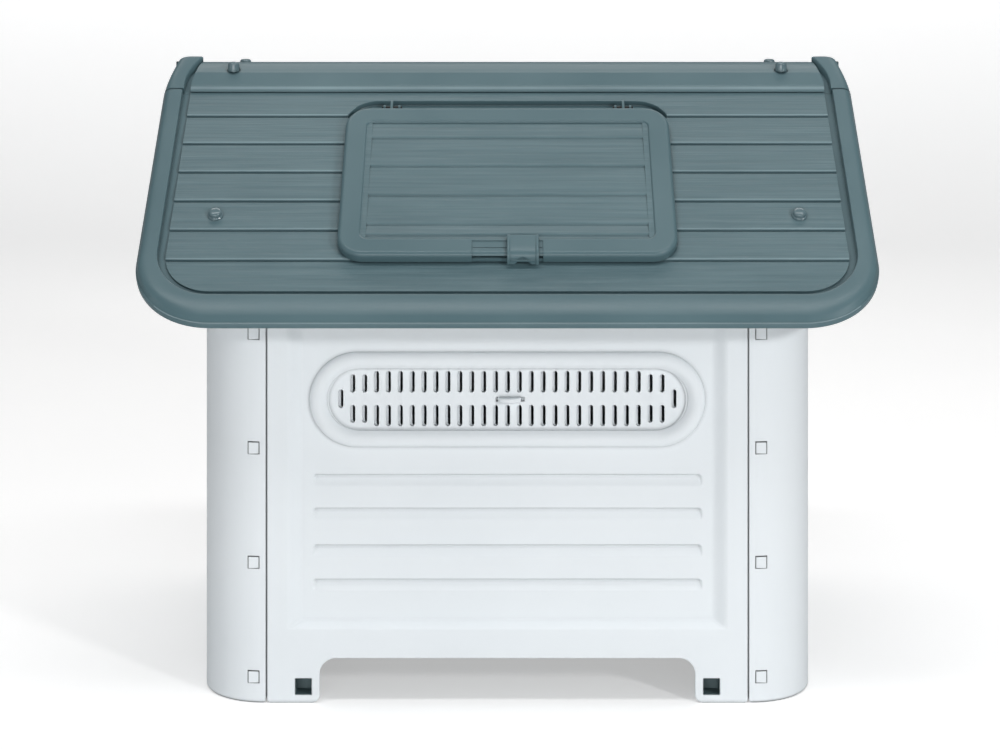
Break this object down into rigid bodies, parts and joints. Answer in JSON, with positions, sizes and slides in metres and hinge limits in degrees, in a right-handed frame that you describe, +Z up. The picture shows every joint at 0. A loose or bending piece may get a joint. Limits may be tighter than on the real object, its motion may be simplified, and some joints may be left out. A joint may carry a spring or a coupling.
{
  "type": "calf hutch",
  "caption": "Gabled moulded-plastic calf hutch with raised feet, lift-up roof hatch, sliding side vents and a wire gate.",
  "frame": {"origin": "on the ground, under the middle of the ridge", "axes": "+X along the ridge towards the gate, -Y towards the roof slope with the hatch, +Z up"},
  "size_m": [0.75, 0.5882, 0.628],
  "materials": {
    "wall_plastic": "fine sand texture",
    "roof_plastic": "satin with fine wood grain on the planks",
    "floor_plastic": "satin",
    "bolt_plastic": "satin moulded",
    "gate_steel": "grey powder coat"
  },
  "bodies": {
    "shell": {"floor_panel": "floor_plastic", "front_gable_wall": "wall_plastic", "rear_gable_wall": "wall_plastic", "ridge_cap": "roof_plastic", "left_side_wall": "wall_plastic", "right_side_wall": "wall_plastic", "left_roof_panel": "roof_plastic", "right_roof_panel": "roof_plastic", "front_hatch_hinge_pin": "gate_steel", "rear_hatch_hinge_pin": "gate_steel", "lower_gate_bracket": "roof_plastic", "upper_gate_bracket": "roof_plastic", "gate_keeper": "roof_plastic", "left_front_roof_bolt": "bolt_plastic", "left_front_roof_nut": "bolt_plastic", "left_front_ridge_bolt": "bolt_plastic", "left_front_ridge_nut": "bolt_plastic", "left_rear_roof_bolt": "bolt_plastic", "left_rear_roof_nut": "bolt_plastic", "left_rear_ridge_bolt": "bolt_plastic", "left_rear_ridge_nut": "bolt_plastic", "right_front_roof_bolt": "bolt_plastic", "right_front_roof_nut": "bolt_plastic", "right_front_ridge_bolt": "bolt_plastic", "right_front_ridge_nut": "bolt_plastic", "right_rear_roof_bolt": "bolt_plastic", "right_rear_roof_nut": "bolt_plastic", "right_rear_ridge_bolt": "bolt_plastic", "right_rear_ridge_nut": "bolt_plastic"},
    "hatch": {"roof_hatch": "roof_plastic"},
    "hatch_latch": {"hatch_latch": "roof_plastic"},
    "left_shutter": {"left_vent_shutter": "wall_plastic"},
    "right_shutter": {"right_vent_shutter": "wall_plastic"},
    "gate": {"gate": "gate_steel"},
    "gate_latch": {"gate_latch_bolt": "gate_steel"}
  },
  "joints": [
    {"name": "hatch_lift", "type": "hinge", "parent": "shell", "child": "hatch", "pos_m": [0, -0.05691, 0.57722], "axis": [-1, 0, 0], "range_deg": [0, 100]},
    {"name": "hatch_latch_slide", "type": "slide", "parent": "hatch", "child": "hatch_latch", "axis": [-1, 0, 0], "range_m": [0, 0.031]},
    {"name": "left_vent_slide", "type": "slide", "parent": "shell", "child": "left_shutter", "axis": [1, 0, 0], "range_m": [-0.0022, 0.0032]},
    {"name": "right_vent_slide", "type": "slide", "parent": "shell", "child": "right_shutter", "axis": [-1, 0, 0], "range_m": [-0.0022, 0.0032]},
    {"name": "gate_swing", "type": "hinge", "parent": "shell", "child": "gate", "pos_m": [0.308, -0.128, 0.24], "axis": [0, 0, -1], "range_deg": [0, 100]},
    {"name": "gate_latch_slide", "type": "slide", "parent": "gate", "child": "gate_latch", "axis": [0, 1, 0], "range_m": [0, 0.016]}
  ]
}
